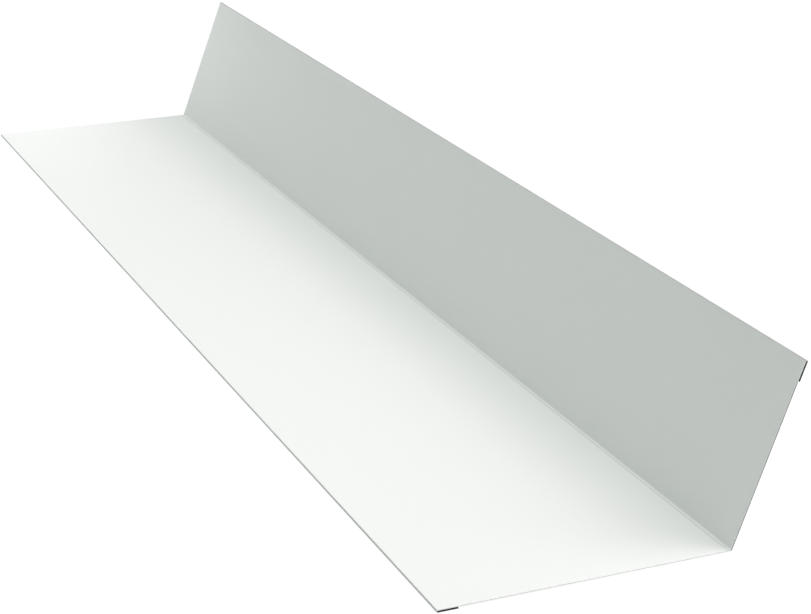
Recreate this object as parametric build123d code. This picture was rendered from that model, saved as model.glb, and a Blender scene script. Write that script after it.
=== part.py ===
from build123d import *
import os
from math import asin, atan2, degrees, hypot, radians, tan

# Abutment flashing, the weathering strip where a sloping roof meets a wall above it.
# It is one strip of coated steel sheet. A single bend along its length parts the wide
# roof leg, which lies on the roof, from the narrower wall leg, which stands against the
# wall and leans away from the roof leg. Each long free edge ends in a hem: the last strip
# of sheet is folded back on the outer side, which stiffens the edge and hides the raw cut.
#
# Millimetres. The length runs along Y, the roof leg reaches towards -X, and the part
# rests on z = 0 as it lies by itself on a level floor.

# Strip
length = 1000.0
sheet_thickness = 0.5

# Legs, each measured on the inner side from the sharp corner to the outside of its hem
roof_leg_width = 175.0
wall_leg_height = 112.5
leg_angle = 111.0
bend_inside_radius = 1.2

# Hems, each depth measured from the outside of the fold to the raw edge
roof_hem_depth = 12.5
wall_hem_depth = 12.5
hem_gap = 0.6

# Worked out from the sizes above
bend_turn = 180.0 - leg_angle
bend_setback = bend_inside_radius * tan(radians(bend_turn) / 2)
fold_outside_radius = hem_gap / 2 + sheet_thickness
hem_thickness = 2 * fold_outside_radius


def sheet_side(depth):
    """The section's line at this depth below the coated face, from raw edge to raw edge.

    The sharp inside corner of the legs is at (0, 0) and the sheet lies to the right of
    the line. A hem folds to the right and closes in with depth. The bend between the
    legs turns to the left and opens out.
    """
    fold_radius = fold_outside_radius - depth
    bend_radius = bend_inside_radius + depth
    with BuildLine() as side:
        roof_return = PolarLine(
            start=(roof_hem_depth - roof_leg_width, depth - hem_thickness),
            length=roof_hem_depth - fold_outside_radius,
            direction=(-1, 0),
        )
        roof_fold = JernArc(roof_return @ 1, roof_return % 1, fold_radius, -180)
        roof_flat = PolarLine(
            start=roof_fold @ 1,
            length=roof_leg_width - fold_outside_radius - bend_setback,
            direction=roof_fold % 1,
        )
        bend = JernArc(roof_flat @ 1, roof_flat % 1, bend_radius, bend_turn)
        wall_flat = PolarLine(
            start=bend @ 1,
            length=wall_leg_height - fold_outside_radius - bend_setback,
            direction=bend % 1,
        )
        wall_fold = JernArc(wall_flat @ 1, wall_flat % 1, fold_radius, -180)
        PolarLine(
            start=wall_fold @ 1,
            length=wall_hem_depth - fold_outside_radius,
            direction=wall_fold % 1,
        )
    return side.wires()[0]


def folded_section():
    """The cut end of the sheet: its two sides, joined across both raw edges."""
    coated_side = sheet_side(0)
    backing_side = sheet_side(sheet_thickness)
    roof_raw_edge = Line(coated_side @ 0, backing_side @ 0)
    wall_raw_edge = Line(coated_side @ 1, backing_side @ 1)
    return make_face(
        coated_side.edges() + backing_side.edges() + [roof_raw_edge, wall_raw_edge]
    )


def rest_tilt():
    """Degrees that the roof leg tips by when it lies on its hem and on the bend.

    The hem is thicker than the single sheet at the bend, so the floor is the line from
    the lower corner of the hem's raw edge that just touches the outside of the bend.
    """
    bend_outside_radius = bend_inside_radius + sheet_thickness
    across = (roof_leg_width - roof_hem_depth) - bend_setback
    up = bend_inside_radius + hem_thickness
    return degrees(atan2(up, across) - asin(bend_outside_radius / hypot(across, up)))


def flashing_sheet():
    """The folded strip, lying at rest with its length centred on the origin."""
    lying_section = Plane.XZ * Rot(Z=-rest_tilt()) * folded_section()
    strip = extrude(lying_section, amount=length / 2, both=True)
    box = strip.bounding_box()
    return Pos(-box.center().X, 0, -box.min.Z) * strip


os.makedirs("parts", exist_ok=True)
export_step(flashing_sheet(), "parts/flashing_sheet.step")
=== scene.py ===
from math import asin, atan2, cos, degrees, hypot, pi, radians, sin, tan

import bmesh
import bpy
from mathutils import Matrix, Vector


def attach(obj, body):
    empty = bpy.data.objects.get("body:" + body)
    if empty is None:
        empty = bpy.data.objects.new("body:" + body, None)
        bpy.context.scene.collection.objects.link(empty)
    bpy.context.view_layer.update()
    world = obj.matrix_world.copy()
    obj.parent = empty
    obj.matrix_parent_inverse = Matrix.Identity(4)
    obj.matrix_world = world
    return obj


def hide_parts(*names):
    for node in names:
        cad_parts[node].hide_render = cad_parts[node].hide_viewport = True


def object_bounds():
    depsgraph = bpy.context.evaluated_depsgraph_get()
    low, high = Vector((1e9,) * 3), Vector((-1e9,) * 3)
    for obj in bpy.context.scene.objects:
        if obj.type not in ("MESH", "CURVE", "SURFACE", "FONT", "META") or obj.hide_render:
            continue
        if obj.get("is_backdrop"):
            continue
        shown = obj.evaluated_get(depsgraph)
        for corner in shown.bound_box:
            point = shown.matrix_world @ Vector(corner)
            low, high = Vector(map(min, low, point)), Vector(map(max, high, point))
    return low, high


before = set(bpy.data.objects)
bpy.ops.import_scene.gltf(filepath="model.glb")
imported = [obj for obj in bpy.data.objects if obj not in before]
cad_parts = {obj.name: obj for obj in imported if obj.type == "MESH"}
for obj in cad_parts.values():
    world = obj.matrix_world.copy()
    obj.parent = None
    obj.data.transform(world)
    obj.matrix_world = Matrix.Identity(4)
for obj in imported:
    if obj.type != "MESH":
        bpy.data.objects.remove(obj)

# %% [markdown]
# # An abutment flashing in coated steel
# The object is one strip of prepainted sheet, folded once along its length into a wide
# roof leg and a narrower wall leg. Each long free edge is folded back on the outer side
# as a hem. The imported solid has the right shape, but its small bends are coarse and it
# has one colour. This lesson folds a finer sheet in the same place and gives each of its
# surfaces the finish that it has on the real product. Lengths are in metres.

cad_low, cad_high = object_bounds()
print("CAD box in mm:", [round(1000 * v, 2) for v in (*cad_low, *cad_high)])

# %% [markdown]
# ## The sizes of the fold
# A sheet metal worker describes such a part by its gauge, the widths of its legs, the
# angle between them, the inside radius of the bend and the depth of the hems. The same
# sizes drive the mesh here, so every face sits where the solid has it.

# %% Sheet, legs, bend and hems
MM = 0.001
sheet_thickness = 0.5 * MM
roof_leg_width = 175.0 * MM
wall_leg_height = 112.5 * MM
bend_turn = pi - radians(111.0)
bend_inside_radius = 1.2 * MM
hem_depth = 12.5 * MM
hem_gap = 0.6 * MM

fold_outside_radius = hem_gap / 2 + sheet_thickness
hem_thickness = 2 * fold_outside_radius
hem_flat = hem_depth - fold_outside_radius
bend_setback = bend_inside_radius * tan(bend_turn / 2)
roof_flat = roof_leg_width - fold_outside_radius - bend_setback
wall_flat = wall_leg_height - fold_outside_radius - bend_setback
print("hem thickness in mm:", round(hem_thickness / MM, 2))

# %% [markdown]
# ## Walking round the section
# The section of folded sheet is a chain of flats and round bends. It can be drawn as a
# curve and thickened, but a solidify step gives poor corners where the radius is as small
# as the sheet. Walking along it works better: a flat moves the point forward, and a bend
# turns the heading in small steps. The walk is made once for the coated side and once for
# the backing side, where each bend is tighter or wider by the thickness of the sheet.
# A fold turns towards the backing, so its radius is given on the coated side too.
# The distance walked along the middle of the sheet is kept as well. It is the place on
# the flat blank before folding. Textures that use it run on through the bends, and the
# places where the bends begin and end say where folding has marked the paint.

# %% A chain of flats and bends
FOLD_STEPS, BEND_STEPS = 20, 16
chain = [
    ("return", hem_flat, 0.0, 1),
    ("fold", fold_outside_radius, -pi, FOLD_STEPS),
    ("covered", hem_flat, 0.0, 1),
    ("open", roof_flat - hem_flat, 0.0, 1),
    ("bend", bend_inside_radius, bend_turn, BEND_STEPS),
    ("open", wall_flat - hem_flat, 0.0, 1),
    ("covered", hem_flat, 0.0, 1),
    ("fold", fold_outside_radius, -pi, FOLD_STEPS),
    ("return", hem_flat, 0.0, 1),
]
span_names = [name for name, _, _, steps in chain for _ in range(steps)]


def walk(depth):
    """Points (across, up, place on the blank) at this depth below the coated side."""
    across, up = hem_depth - roof_leg_width, depth - hem_thickness
    heading, blank = pi, 0.0
    points = [(across, up, blank)]
    for _, size, turn, steps in chain:
        outward = 1 if turn > 0 else -1
        radius = size + outward * depth
        middle_radius = size + outward * sheet_thickness / 2
        for _ in range(steps):
            step_turn = turn / steps
            stride = 2 * radius * sin(abs(step_turn) / 2) if turn else size
            heading += step_turn / 2
            across += stride * cos(heading)
            up += stride * sin(heading)
            heading += step_turn / 2
            blank += middle_radius * abs(step_turn) if turn else size
            points.append((across, up, blank))
    return points


coated_line = walk(0.0)
backing_line = walk(sheet_thickness)
girth = coated_line[-1][2]
seams, point = [], 0
for _, _, _, steps in chain:
    seams.append(coated_line[point][2])
    point += steps
roof_fold, bend, wall_fold = ((seams[i], seams[i + 1]) for i in (1, 4, 7))
torn_wall, raw_edges = (bend[0], seams[6]), ((0.0, seams[1]), (seams[8], girth))
print("points along the section:", len(coated_line), "girth in mm:", round(girth / MM, 1))
print("bend on the blank in mm:", [round(seam / MM, 1) for seam in bend])

# %% [markdown]
# ## Laying the section on the floor
# By itself the part lies on the raw edge of the roof hem and on the outside of the bend.
# The hem is thicker than a single sheet, so the roof leg tips by a fraction of a degree.
# The tilt is worked out from the sizes, and the section then slides into the CAD box.

# %% Tilt and slide
reach = roof_leg_width - hem_depth - bend_setback
rise = bend_inside_radius + hem_thickness
bend_outside_radius = bend_inside_radius + sheet_thickness
rest_tilt = atan2(rise, reach) - asin(bend_outside_radius / hypot(reach, rise))


def tipped(across, up):
    """The section's point after the part has come to rest, before the slide."""
    return (
        across * cos(rest_tilt) + up * sin(rest_tilt),
        up * cos(rest_tilt) - across * sin(rest_tilt),
    )


tipped_points = [tipped(across, up) for across, up, _ in coated_line + backing_line]
slide_x = cad_low.x - min(x for x, _ in tipped_points)
slide_z = cad_low.z - min(z for _, z in tipped_points)
print("rest tilt in degrees:", round(degrees(rest_tilt), 3))

# %% [markdown]
# ## Folding the mesh
# Each side of the sheet becomes a band of faces from one cut end to the other. The two
# bands are closed by the raw edges along the hems and by the cut ends, so the mesh is one
# closed skin like the real sheet. Three material slots keep the coated side, the backing
# side and the cut metal apart, and a fourth paints shade on the closed inside of the hems.
# The map called blank stores the place on the flat blank, and on cut metal it stores the
# place along the cut and the depth below the coat.

# %% Bands, raw edges and cut ends
COATED, BACKING, PAINTED_SHADE, CUT = range(4)
SPANS = 10
near_end, far_end = cad_low.y, cad_high.y
length = far_end - near_end
IN_THE_HEM = ("return", "fold", "covered")


def band_of_points(mesh, line):
    """One row of vertices along the length for each point of the section's line."""
    stations = [near_end + length * k / SPANS for k in range(SPANS + 1)]
    rows = []
    for across, up, _ in line:
        x, z = tipped(across, up)
        rows.append([mesh.verts.new((x + slide_x, y, z + slide_z)) for y in stations])
    return rows


def fold_sheet(name):
    """The folded strip as one closed mesh object."""
    mesh = bmesh.new()
    blank_map = mesh.loops.layers.uv.new("blank")
    coat = band_of_points(mesh, coated_line)
    back = band_of_points(mesh, backing_line)
    last = len(coat) - 1
    place = [blank for _, _, blank in coated_line]

    def add(corners, places, slot):
        face = mesh.faces.new(corners)
        face.material_index = slot
        face.smooth = True
        for loop, uv in zip(face.loops, places):
            loop[blank_map].uv = uv

    for i in range(last):
        # Faces inside the hems take the painted shade material.
        back_slot = PAINTED_SHADE if span_names[i] in IN_THE_HEM else BACKING
        here, there = place[i], place[i + 1]
        for k in range(SPANS):
            y0, y1 = length * k / SPANS, length * (k + 1) / SPANS
            spots = [(here, y0), (here, y1), (there, y1), (there, y0)]
            corners = [(i, k), (i, k + 1), (i + 1, k + 1), (i + 1, k)]
            add([coat[a][b] for a, b in corners], spots, COATED)
            add([back[a][b] for a, b in corners[::-1]], spots[::-1], back_slot)
        ring = [(here, 0.0), (there, 0.0), (there, sheet_thickness), (here, sheet_thickness)]
        for k in (0, SPANS):
            corners = [coat[i][k], coat[i + 1][k], back[i + 1][k], back[i][k]]
            add(corners, ring, CUT)
    for i in (0, last):
        for k in range(SPANS):
            y0, y1 = length * k / SPANS, length * (k + 1) / SPANS
            corners = [coat[i][k], coat[i][k + 1], back[i][k + 1], back[i][k]]
            add(corners, [(y0, 0.0), (y1, 0.0), (y1, sheet_thickness), (y0, sheet_thickness)], CUT)
    bmesh.ops.recalc_face_normals(mesh, faces=mesh.faces)
    data = bpy.data.meshes.new(name)
    mesh.to_mesh(data)
    mesh.free()
    piece = bpy.data.objects.new(name, data)
    bpy.context.collection.objects.link(piece)
    return piece


sheet = fold_sheet("folded_sheet")
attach(sheet, "root")
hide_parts("flashing_sheet")
print("faces before rounding:", len(sheet.data.polygons))

# %% [markdown]
# ## Rounding the cuts and smoothing the folds
# A shear rolls the skin of the sheet over a little before it cuts, so the rim of every
# cut is rounded by a few hundredths of a millimetre and catches the light. A bevel on
# the edges between skin and cut does that. Smooth shading would then bend the light over
# the wide flats as well, because a vertex normal is shared with the fold beside it.
# Normals weighted by face area keep the flats flat and the folds round.

# %% Rolled rim and weighted normals
RIM_RADIUS = 0.05 * MM


def mark_rims(piece):
    """Give the edges between a skin and a cut a bevel weight of 1, and count them."""
    data = piece.data
    slots = {}
    for polygon in data.polygons:
        for key in polygon.edge_keys:
            slots.setdefault(key, set()).add(polygon.material_index == CUT)
    weight = data.attributes.new("bevel_weight_edge", "FLOAT", "EDGE")
    rims = [edge for edge in data.edges if len(slots[edge.key]) > 1]
    for edge in rims:
        weight.data[edge.index].value = 1.0
    return len(rims)


print("rim edges:", mark_rims(sheet))
rim = sheet.modifiers.new("rolled_rim", "BEVEL")
rim.limit_method = "WEIGHT"
rim.width = RIM_RADIUS
rim.segments = 2
rim.use_clamp_overlap = False
smoothing = sheet.modifiers.new("flat_legs", "WEIGHTED_NORMAL")
smoothing.mode = "FACE_AREA"
smoothing.weight = 100

# %% [markdown]
# ## Short words for shader nodes
# Every finish below is a small graph, and a few helpers keep those graphs readable. One
# sets or links an input, one adds a node with its settings, and two do arithmetic. The
# last two start a node group with named sockets, and place it in a material.

# %% Node helpers
def feed(tree, value, socket):
    """Link an output into this input, or set the input to a plain value."""
    if isinstance(value, bpy.types.NodeSocket):
        tree.links.new(value, socket)
    else:
        socket.default_value = value


def add_node(tree, kind, inputs=None, **settings):
    """Add a shader node, with its settings and its inputs by name or number."""
    made = tree.nodes.new("ShaderNode" + kind)
    for name, value in settings.items():
        setattr(made, name, value)
    for socket, value in (inputs or {}).items():
        feed(tree, value, made.inputs[socket])
    return made


def calc(tree, operation, *values):
    """The result of one Math node."""
    return add_node(tree, "Math", dict(enumerate(values)), operation=operation).outputs[0]


def clamped(tree, value):
    """The value, held between 0 and 1."""
    return add_node(tree, "Clamp", {"Value": value}).outputs[0]


def start_group(name, inputs, outputs):
    """A node group with these named sockets, its input outlets and its output inlets."""
    group = bpy.data.node_groups.new(name, "ShaderNodeTree")
    for label, kind in inputs:
        group.interface.new_socket(label, in_out="INPUT", socket_type="NodeSocket" + kind)
    for label in outputs:
        group.interface.new_socket(label, in_out="OUTPUT", socket_type="NodeSocketFloat")
    source = group.nodes.new("NodeGroupInput")
    result = group.nodes.new("NodeGroupOutput")
    return group, source.outputs, result.inputs


def use_group(tree, group, **inputs):
    """Place a node group, with its inputs by name and underscores for spaces."""
    named = {name.replace("_", " "): value for name, value in inputs.items()}
    made = tree.nodes.new("ShaderNodeGroup")
    made.node_tree = group
    for socket, value in named.items():
        feed(tree, value, made.inputs[socket])
    return made.outputs


# %% [markdown]
# ## What the paint rollers leave
# Both paints are rolled on while the steel runs through the coating line. They dry with
# faint streaks along the strip, a fine orange peel of a millimetre or two, and slow clouds
# in the gloss. Noise that is stretched along the blank gives the streaks, and plain noise
# at two sizes gives the rest. Each coat places this group with sizes of its own.

# %% Group: roller coat
roller_coat, given, made = start_group(
    "roller_coat",
    [("Place", "Vector"), ("Streak Spacing", "Float"), ("Peel Size", "Float")],
    ["Tone", "Gloss", "Height"],
)
STREAK_LENGTH, CLOUD_SIZE = 0.9, 0.07


def plain_noise(tree, place, scale, detail):
    """The value of a flat noise pattern."""
    inputs = {"Vector": place, "Scale": scale, "Detail": detail}
    return add_node(tree, "TexNoise", inputs, noise_dimensions="2D").outputs[0]


def stretched_noise(tree, spot, width, stretch, detail):
    """Noise whose patches have this width across the spot's X and this stretch along its Y."""
    inputs = {
        "X": calc(tree, "DIVIDE", spot["X"], width),
        "Y": calc(tree, "DIVIDE", spot["Y"], stretch),
    }
    place = add_node(tree, "CombineXYZ", inputs).outputs[0]
    return plain_noise(tree, place, 1.0, detail)


def share_out(tree, first, share, second):
    """This share of the first value and the rest of the second."""
    rest = calc(tree, "MULTIPLY", second, 1.0 - share)
    return calc(tree, "MULTIPLY_ADD", first, share, rest)


spot = add_node(roller_coat, "SeparateXYZ", {0: given["Place"]}).outputs
streaks = stretched_noise(roller_coat, spot, given["Streak Spacing"], STREAK_LENGTH, 3.0)
clouds = plain_noise(roller_coat, given["Place"], 1.0 / CLOUD_SIZE, 2.0)
peel_scale = calc(roller_coat, "DIVIDE", 1.0, given["Peel Size"])
peel = plain_noise(roller_coat, given["Place"], peel_scale, 1.0)
feed(roller_coat, share_out(roller_coat, streaks, 0.6, clouds), made["Tone"])
feed(roller_coat, share_out(roller_coat, clouds, 0.7, peel), made["Gloss"])
feed(roller_coat, share_out(roller_coat, streaks, 0.15, peel), made["Height"])
print("roller coat nodes:", len(roller_coat.nodes))

# %% [markdown]
# ## Where the cut is torn
# The blank is sheared across before it is folded. The photograph shows a pale cut along
# the roof leg and on the outer layer of the hems, where the blade dragged paint down over
# the steel. From the bend up the wall leg the cut is darker and the paint beside it is
# chipped, so there the blade tore the sheet. The strips beside the raw edges get the same
# dark look as painted shade, which widens the dark marks of shade on the ends of the hems.
# One mask along the blank holds the tear and this painted shade; coat and cut steel read it.

# %% Group: torn cut and painted hem shade
TORN_SOFTNESS, HEM_SHADE_MARGIN = 0.6 * MM, 1.0 * MM
torn_cut_and_hem_shade, given, made = start_group("torn_cut_and_hem_shade", [("Place", "Vector")], ["Torn"])


def band(tree, value, start, end, softness):
    """1 where the value lies between start and end, with limits this soft inside it."""
    entered = calc(tree, "DIVIDE", calc(tree, "SUBTRACT", value, start), softness)
    to_leave = calc(tree, "DIVIDE", calc(tree, "SUBTRACT", end, value), softness)
    return clamped(tree, calc(tree, "MINIMUM", entered, to_leave))


across_blank = add_node(torn_cut_and_hem_shade, "SeparateXYZ", {0: given["Place"]}).outputs["X"]
torn_and_hem_shade = band(torn_cut_and_hem_shade, across_blank, *torn_wall, TORN_SOFTNESS)
# The strips beside the raw edges join the mask as painted shade for the hem ends.
for start, end in raw_edges:
    widened = (start - HEM_SHADE_MARGIN, end + HEM_SHADE_MARGIN)
    raw_edge_painted_shade = band(torn_cut_and_hem_shade, across_blank, *widened, TORN_SOFTNESS)
    torn_and_hem_shade = calc(torn_cut_and_hem_shade, "MAXIMUM", torn_and_hem_shade, raw_edge_painted_shade)
feed(torn_cut_and_hem_shade, torn_and_hem_shade, made["Torn"])
print("torn along the blank in mm:", [round(place / MM, 1) for place in torn_wall])

# %% [markdown]
# ## Where the shear chips the paint
# Beside a cut the blade lifts a hair of paint and shows the zinc below it. It is the thin
# line that draws the far end of the wall leg. The mask is worked out from the distance to
# the nearest cut on the blank, with a ragged limit from noise, so it needs no painting by
# hand and both coats share it. The noise lies about 0.5, so twice the noise is about 1.

# %% Group: chipped rim
chipped_rim, given, made = start_group(
    "chipped_rim",
    [("Place", "Vector"), ("Girth", "Float"), ("Length", "Float"), ("Rim Width", "Float")],
    ["Bare"],
)
CHIP_SIZE, SOFT_SHARE = 0.7 * MM, 0.3
spot = add_node(chipped_rim, "SeparateXYZ", {0: given["Place"]}).outputs
across_left = calc(chipped_rim, "SUBTRACT", given["Girth"], spot["X"])
along_left = calc(chipped_rim, "SUBTRACT", given["Length"], spot["Y"])
from_raw_edge = calc(chipped_rim, "MINIMUM", spot["X"], across_left)
from_cut_end = calc(chipped_rim, "MINIMUM", spot["Y"], along_left)
from_cut = calc(chipped_rim, "MINIMUM", from_raw_edge, from_cut_end)
chips = plain_noise(chipped_rim, given["Place"], 1.0 / CHIP_SIZE, 2.0)
ragged = calc(chipped_rim, "MULTIPLY", chips, 2.0)
reach_in = calc(chipped_rim, "MULTIPLY", given["Rim Width"], ragged)
past_rim = calc(chipped_rim, "SUBTRACT", reach_in, from_cut)
softness = calc(chipped_rim, "MULTIPLY", given["Rim Width"], SOFT_SHARE)
bare = clamped(chipped_rim, calc(chipped_rim, "DIVIDE", past_rim, softness))
feed(chipped_rim, bare, made["Bare"])
print("chipped rim nodes:", len(chipped_rim.nodes))

# %% [markdown]
# ## Painted shade and highlight at the folds
# A hem turns the sheet round little more than its own thickness. A fine grey line along
# each hem fold, a little darker on the wall leg, is painted shade on the round of the fold.
# Beside the bend between the legs a dull line on the roof leg is painted shade in the
# crease, and inside the bend a slightly lighter band is a painted highlight. All of them
# are bands on the blank, so they are one factor on the tone of the paint. Each line of the
# list gives a band's start, its end, how soft its limits are, and by what share it changes
# the tone.

# %% Group: painted fold shading
painted_fold_shading, given, made = start_group("painted_fold_shading", [("Place", "Vector")], ["Factor"])
across_blank = add_node(painted_fold_shading, "SeparateXYZ", {0: given["Place"]}).outputs["X"]
# The negative shares are painted shade and the positive one a painted highlight.
ROOF_FOLD_SHADE, WALL_FOLD_SHADE = -0.38, -0.45
BEND_CREASE_SHADE, BEND_HIGHLIGHT = -0.15, 0.055
painted_fold_bands = [
    (roof_fold[0] + 0.35 * MM, roof_fold[1] - 0.35 * MM, 0.15 * MM, ROOF_FOLD_SHADE),
    (wall_fold[0], wall_fold[1], 0.4 * MM, WALL_FOLD_SHADE),
    (bend[0] - 1.7 * MM, bend[0] + 0.1 * MM, 0.5 * MM, BEND_CREASE_SHADE),
    (bend[0] - 0.1 * MM, bend[1], 0.5 * MM, BEND_HIGHLIGHT),
]
factor = 1.0
for start, end, softness, change in painted_fold_bands:
    mask = band(painted_fold_shading, across_blank, start, end, softness)
    factor = calc(painted_fold_shading, "MULTIPLY_ADD", mask, change, factor)
feed(painted_fold_shading, factor, made["Factor"])
print("fold marks:", len(painted_fold_bands))

# %% [markdown]
# ## The weather coat
# The side that faces the weather has a white polyester paint with little gloss, so its
# highlight is wide and weak. White paint on steel is never one value: the tone shifts by
# one or two parts in a hundred over the strip, and the gloss shifts with the film. The
# painted fold shading scales the tone, and the chipped rim swaps the paint for dull zinc.

# %% Material: weather coat
WHITE_PAINT = ((0.875, 0.890, 0.872, 1.0), (0.891, 0.905, 0.888, 1.0))
WHITE_ROUGHNESS, WHITE_PEEL_DEPTH = (0.5, 0.62), 0.006 * MM
CHIP_REACH = (0.03 * MM, 0.15 * MM)
ZINC_COLOUR = (0.3, 0.31, 0.31, 1.0)
BARE_METALLIC = 0.7


def new_material(name):
    """A material with its node tree and the inputs of its Principled shader."""
    material = bpy.data.materials.new(name)
    material.use_nodes = True
    return material, material.node_tree, material.node_tree.nodes["Principled BSDF"].inputs


def mix_colours(tree, factor, first, second):
    """The colour output of a Mix node."""
    inputs = {0: factor, 6: first, 7: second}
    return add_node(tree, "Mix", inputs, data_type="RGBA").outputs[2]


def scale_colour(tree, colour, factor):
    """A colour times a factor."""
    return add_node(tree, "VectorMath", {0: colour, "Scale": factor}, operation="SCALE").outputs[0]


def spread(tree, value, low, high):
    """A value between 0 and 1, spread to run from low to high."""
    return calc(tree, "MULTIPLY_ADD", value, high - low, low)


def blank_place(tree):
    """The place on the flat blank, in metres."""
    return add_node(tree, "UVMap", uv_map="blank").outputs[0]


def bump(tree, height, depth):
    """A normal from a height between 0 and 1 that stands for this depth in metres."""
    return add_node(tree, "Bump", {"Distance": depth, "Height": height}).outputs[0]


weather_coat, tree, shader = new_material("weather_coat")
place = blank_place(tree)
film = use_group(tree, roller_coat, Place=place, Streak_Spacing=5.0 * MM, Peel_Size=1.6 * MM)
# The mask's painted hem shade also widens the chipped rim beside the raw edges.
torn_and_hem_shade = use_group(tree, torn_cut_and_hem_shade, Place=place)["Torn"]
chip_reach = spread(tree, torn_and_hem_shade, *CHIP_REACH)
blank = dict(Place=place, Girth=girth, Length=length)
bare = use_group(tree, chipped_rim, **blank, Rim_Width=chip_reach)["Bare"]
paint = mix_colours(tree, film["Tone"], *WHITE_PAINT)
# The painted fold shading scales the paint's tone here.
paint_with_fold_shading = scale_colour(tree, paint, use_group(tree, painted_fold_shading, Place=place)["Factor"])
feed(tree, mix_colours(tree, bare, paint_with_fold_shading, ZINC_COLOUR), shader["Base Color"])
feed(tree, spread(tree, film["Gloss"], *WHITE_ROUGHNESS), shader["Roughness"])
shader["Specular IOR Level"].default_value = 0.3
feed(tree, calc(tree, "MULTIPLY", bare, BARE_METALLIC), shader["Metallic"])
feed(tree, bump(tree, film["Height"], WHITE_PEEL_DEPTH), shader["Normal"])
print("weather coat nodes:", len(tree.nodes))

# %% [markdown]
# ## The backing coat
# The outer side gets a thinner and duller grey paint. It is rolled on with a coarser peel
# and finer streaks than the weather coat, and it chips at the cuts too.

# %% Material: backing coat
GREY_PAINT = ((0.40, 0.42, 0.41, 1.0), (0.48, 0.50, 0.48, 1.0))
GREY_ROUGHNESS, GREY_PEEL_DEPTH = (0.5, 0.66), 0.01 * MM
BACKING_FILM = dict(Streak_Spacing=3.0 * MM, Peel_Size=2.4 * MM)
backing_coat, tree, shader = new_material("backing_coat")
place = blank_place(tree)
film = use_group(tree, roller_coat, Place=place, **BACKING_FILM)
blank = dict(Place=place, Girth=girth, Length=length)
bare = use_group(tree, chipped_rim, **blank, Rim_Width=0.2 * MM)["Bare"]
paint = mix_colours(tree, film["Tone"], *GREY_PAINT)
feed(tree, mix_colours(tree, bare, paint, ZINC_COLOUR), shader["Base Color"])
feed(tree, spread(tree, film["Gloss"], *GREY_ROUGHNESS), shader["Roughness"])
feed(tree, bump(tree, film["Height"], GREY_PEEL_DEPTH), shader["Normal"])
print("backing coat nodes:", len(tree.nodes))

# %% [markdown]
# ## Inside the hems
# Inside a hem the backing coat sees almost no light, but a viewer that traces no shadows
# would show it bright. So the faces there have a material of their own with painted
# shade: the same roller marks in a nearly black tone, without a reflection.

# %% Material: painted shade inside the hems
PAINTED_HEM_SHADE = ((0.002, 0.002, 0.002, 1.0), (0.006, 0.006, 0.006, 1.0))
hem_painted_shade, tree, shader = new_material("hem_painted_shade")
film = use_group(tree, roller_coat, Place=blank_place(tree), **BACKING_FILM)
feed(tree, mix_colours(tree, film["Tone"], *PAINTED_HEM_SHADE), shader["Base Color"])
shader["Roughness"].default_value = 1.0
shader["Specular IOR Level"].default_value = 0.0
print("nodes inside the hems:", len(tree.nodes))

# %% [markdown]
# ## The sheared steel
# Through its thickness a sheared edge shows two zones: a burnished band that the blade
# rubbed, then a rougher and darker break. Both carry scratches across the sheet. The map
# holds the depth below the coat here, so the zones are a soft step about a third of the
# way down. Where the cut isn't torn, white paint is drawn down over the steel, thinner
# towards the backing side.

# %% Material: cut steel
BURNISHED_AND_BROKEN = ((0.62, 0.63, 0.63, 1.0), (0.07, 0.07, 0.07, 1.0))
DRAWN_PAINT = ((0.89, 0.905, 0.885, 1.0), (0.85, 0.87, 0.85, 1.0))
STEEL_ROUGHNESS, SCRATCH_DEPTH = (0.35, 0.7), 0.01 * MM
SCRATCH_SPACING, SCRATCH_LENGTH = 0.09 * MM, 2.0 * MM
BURNISHED_SHARE, RAGGED_BY, STEEPNESS = 0.35, 0.3, 6.0
cut_steel, tree, shader = new_material("cut_steel")
place = blank_place(tree)
spot = add_node(tree, "SeparateXYZ", {0: place}).outputs
scratches = stretched_noise(tree, spot, SCRATCH_SPACING, SCRATCH_LENGTH, 2.0)
depth_share = calc(tree, "DIVIDE", spot["Y"], sheet_thickness)
below_burnish = calc(tree, "SUBTRACT", depth_share, BURNISHED_SHARE)
ragged = calc(tree, "MULTIPLY_ADD", scratches, RAGGED_BY, below_burnish)
broken = clamped(tree, calc(tree, "MULTIPLY", ragged, STEEPNESS))
steel = mix_colours(tree, broken, *BURNISHED_AND_BROKEN)
drawn = mix_colours(tree, depth_share, *DRAWN_PAINT)
# On the hem returns the dark steel from this mask is painted shade.
torn_and_hem_shade = use_group(tree, torn_cut_and_hem_shade, Place=place)["Torn"]
feed(tree, mix_colours(tree, torn_and_hem_shade, drawn, steel), shader["Base Color"])
feed(tree, spread(tree, broken, *STEEL_ROUGHNESS), shader["Roughness"])
feed(tree, calc(tree, "MULTIPLY", torn_and_hem_shade, BARE_METALLIC), shader["Metallic"])
feed(tree, bump(tree, scratches, SCRATCH_DEPTH), shader["Normal"])

for material in (weather_coat, backing_coat, hem_painted_shade, cut_steel):
    sheet.data.materials.append(material)
print("materials:", [m.name for m in sheet.data.materials])

# %% [markdown]
# ## A floor that looks white and still lights the sheet like paper
# The background is plain white. More lamp light could bleach the floor, but it would
# bleach the white sheet too. So the floor is white only for rays that come straight from
# the camera or from a reflection. It keeps a little diffuse shading there, which carries
# the soft shadow, and it glows slightly more from about a metre away, where the lamps
# fade. For all other rays it is an ordinary pale floor that bounces light.

# %% Floor
FLOOR_RADIUS, FLOOR_DROP = 9.0, 0.1 * MM
PAPER_COLOUR, SHADOW_COLOUR = (0.8, 0.8, 0.8, 1.0), (0.1, 0.1, 0.1, 1.0)
GLOW_NEAR, GLOW_FAR = 0.94, 1.0
FADE_START, FADE_LENGTH = 0.6, 1.0


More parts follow.
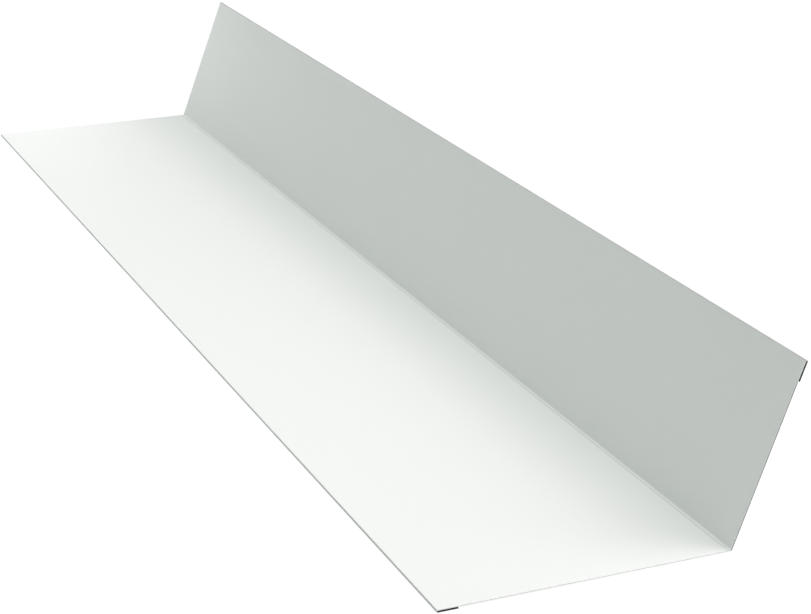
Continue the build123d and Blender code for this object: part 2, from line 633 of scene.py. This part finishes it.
def is_seen(tree):
    """1 for rays from the camera, from a reflection or through glass, otherwise 0."""
    rays = add_node(tree, "LightPath").outputs
    mirrored = calc(tree, "MAXIMUM", rays["Is Camera Ray"], rays["Is Glossy Ray"])
    return calc(tree, "MAXIMUM", mirrored, rays["Is Transmission Ray"])


def from_the_middle(tree):
    """How far a place on the floor is from its centre, in metres."""
    place = add_node(tree, "TexCoord").outputs["Object"]
    return add_node(tree, "VectorMath", {0: place}, operation="LENGTH").outputs["Value"]


bpy.ops.mesh.primitive_circle_add(
    vertices=96, radius=FLOOR_RADIUS, fill_type="NGON", location=(0.0, 0.0, -FLOOR_DROP)
)
floor = bpy.context.object
floor.name = "studio_floor"
floor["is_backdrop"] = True
paper, tree, shader = new_material("studio_paper")
shader["Base Color"].default_value = PAPER_COLOUR
shader["Roughness"].default_value = 1.0
beyond = band(tree, from_the_middle(tree), FADE_START, 2.0 * FLOOR_RADIUS, FADE_LENGTH)
glow = add_node(tree, "Emission", {"Strength": spread(tree, beyond, GLOW_NEAR, GLOW_FAR)})
shadow = add_node(tree, "BsdfDiffuse", {"Color": SHADOW_COLOUR})
white = add_node(tree, "AddShader", {0: glow.outputs[0], 1: shadow.outputs[0]})
paper_shader = tree.nodes["Principled BSDF"].outputs[0]
look = add_node(tree, "MixShader", {0: is_seen(tree), 1: paper_shader, 2: white.outputs[0]})
feed(tree, look.outputs[0], tree.nodes["Material Output"].inputs["Surface"])
floor.data.materials.append(paper)
print("floor reaches", FLOOR_RADIUS, "m, and lies", round(FLOOR_DROP / MM, 2), "mm below")

# %% [markdown]
# ## The room
# The world does two jobs. It is the white beyond the floor, and it is the even and slightly
# green light of a pale room. Light Path keeps the two apart.

# %% World
ROOM_STRENGTH, ROOM_COLOUR = 0.315, (0.9, 1.0, 0.945, 1.0)
BACKDROP_WHITE = (1.0, 1.0, 1.0, 1.0)
world = bpy.data.worlds.new("pale_room")
world.use_nodes = True
bpy.context.scene.world = world
tree = world.node_tree
room_light = tree.nodes["Background"]
room_light.inputs["Color"].default_value = ROOM_COLOUR
room_light.inputs["Strength"].default_value = ROOM_STRENGTH
backdrop = add_node(tree, "Background", {"Color": BACKDROP_WHITE, "Strength": 1.0})
either = {0: is_seen(tree), 1: room_light.outputs[0], 2: backdrop.outputs[0]}
look = add_node(tree, "MixShader", either)
feed(tree, look.outputs[0], tree.nodes["World Output"].inputs["Surface"])
print("room strength:", ROOM_STRENGTH)

# %% [markdown]
# ## Soft lamps
# Three square soft boxes hang at the same distance, each given by how far it leans from
# straight up, across and along the part. One hangs straight above. The other two lean
# behind the wall leg: they light the roof leg fully and only graze the inner face of the
# wall leg, which sets the two whites apart, and the wall leg keeps some of their light off
# the roof leg beside the bend. They lean to the near end as well, where their light comes
# in past the end of the wall leg. Both are slightly pink, so that they and the green of the
# room add up to white. A small weak panel stands low beyond the far end and lifts the last
# part of the wall leg.

# %% Lamps
LAMP_DISTANCE, LAMP_SIZE = 2.6, 1.3
WHITE_LIGHT, PINK_LIGHT = (1.0, 1.0, 1.0), (1.0, 0.943, 0.967)


def soft_box(name, place, aim, size, power, colour):
    """A square area lamp at this place, facing the point that it aims at."""
    lamp = bpy.data.lights.new(name, "AREA")
    lamp.size = size
    lamp.energy = power
    lamp.color = colour
    holder = bpy.data.objects.new(name, lamp)
    bpy.context.collection.objects.link(holder)
    holder.location = place
    holder.rotation_euler = (place - aim).to_track_quat("Z", "Y").to_euler()
    holder.visible_camera = False


def hanging(across, along):
    """The place of a lamp that leans this many degrees from straight up."""
    lean, swing = radians(across), radians(along)
    towards = Vector((sin(lean) * cos(swing), sin(swing), cos(lean) * cos(swing)))
    return LAMP_DISTANCE * towards


middle = Vector((0.0, 0.0, 0.0))
hanging_boxes = [
    ("straight_above", 0.0, 0.0, 20.5, WHITE_LIGHT),
    ("high_behind_the_wall_leg", 30.0, -20.0, 24.6, PINK_LIGHT),
    ("low_behind_the_wall_leg", 50.0, -20.0, 20.7, PINK_LIGHT),
]
for name, across, along, power, colour in hanging_boxes:
    soft_box(name, hanging(across, along), middle, LAMP_SIZE, power, colour)
PANEL_BEYOND, PANEL_UP, PANEL_SIZE, PANEL_POWER = 0.35, 0.05, 0.2, 0.385
panel_place = Vector((0.0, far_end + PANEL_BEYOND, PANEL_UP))
wall_far_end = Vector((cad_high.x, far_end, cad_high.z / 2))
soft_box("beyond_the_far_end", panel_place, wall_far_end, PANEL_SIZE, PANEL_POWER, WHITE_LIGHT)
print("lamps in W:", {lamp.name: round(lamp.energy, 2) for lamp in bpy.data.lights})

# %% [markdown]
# ## The camera
# The photograph looks along the sheet from its lower left end. The lens, the two angles
# and the small roll come from a fit to the corners of the legs, and the position follows.

# %% Camera
IMAGE_WIDTH, SENSOR_WIDTH = 811, 36.0
FOCAL_LENGTH_PX = 2143.3
CAMERA_PLACE = (-0.4994, -1.4003, 0.5291)
camera_data = bpy.data.cameras.new("photo_camera")
camera_data.sensor_width = SENSOR_WIDTH
camera_data.lens = FOCAL_LENGTH_PX / IMAGE_WIDTH * SENSOR_WIDTH
camera = bpy.data.objects.new("photo_camera", camera_data)
bpy.context.collection.objects.link(camera)
bpy.context.scene.camera = camera
heading, tilt_down, roll = radians(22.622), radians(20.192), radians(-0.575)
forward = Vector((sin(heading) * cos(tilt_down), cos(heading) * cos(tilt_down), -sin(tilt_down)))
upright = forward.to_track_quat("-Z", "Y").to_matrix()
camera.location = CAMERA_PLACE
camera.rotation_euler = (upright @ Matrix.Rotation(roll, 3, "Z")).to_euler()
bpy.context.scene.view_settings.view_transform = "Standard"
print("lens in mm:", round(camera_data.lens, 2))

# %% [markdown]
# ## Does it still fit
# The looks must not change the size of the part. The difference between the two boxes is
# printed, and it should be a few thousandths of a millimetre.

# %% The two boxes
low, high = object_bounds()
misfit = [(a - b) / MM for a, b in zip((*low, *high), (*cad_low, *cad_high))]
print("visual box less CAD box in mm:", [round(v, 4) for v in misfit])
